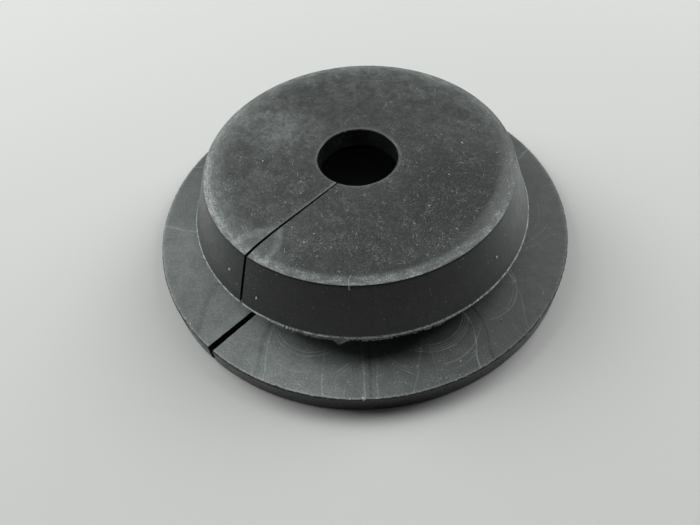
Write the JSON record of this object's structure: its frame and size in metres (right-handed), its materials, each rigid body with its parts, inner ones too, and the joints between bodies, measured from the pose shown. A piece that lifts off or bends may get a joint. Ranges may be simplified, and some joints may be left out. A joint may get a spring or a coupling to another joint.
{
  "type": "split rubber grommet",
  "caption": "Black rubber panel grommet with a wide flange, a grooved neck, a tapered head, a central bore and a radial slit.",
  "frame": {"origin": "on the bore's axis, in the plane of the flange's flat underside", "axes": "+Z along the bore from the flange towards the head; the slit runs from the bore towards -Y"},
  "size_m": [0.0635, 0.0634, 0.0155],
  "materials": {
    "rubber": "matt black moulded rubber with a grey bloom, flow marks and light dust"
  },
  "bodies": {
    "root": {"grommet": "rubber"}
  },
  "joints": []
}
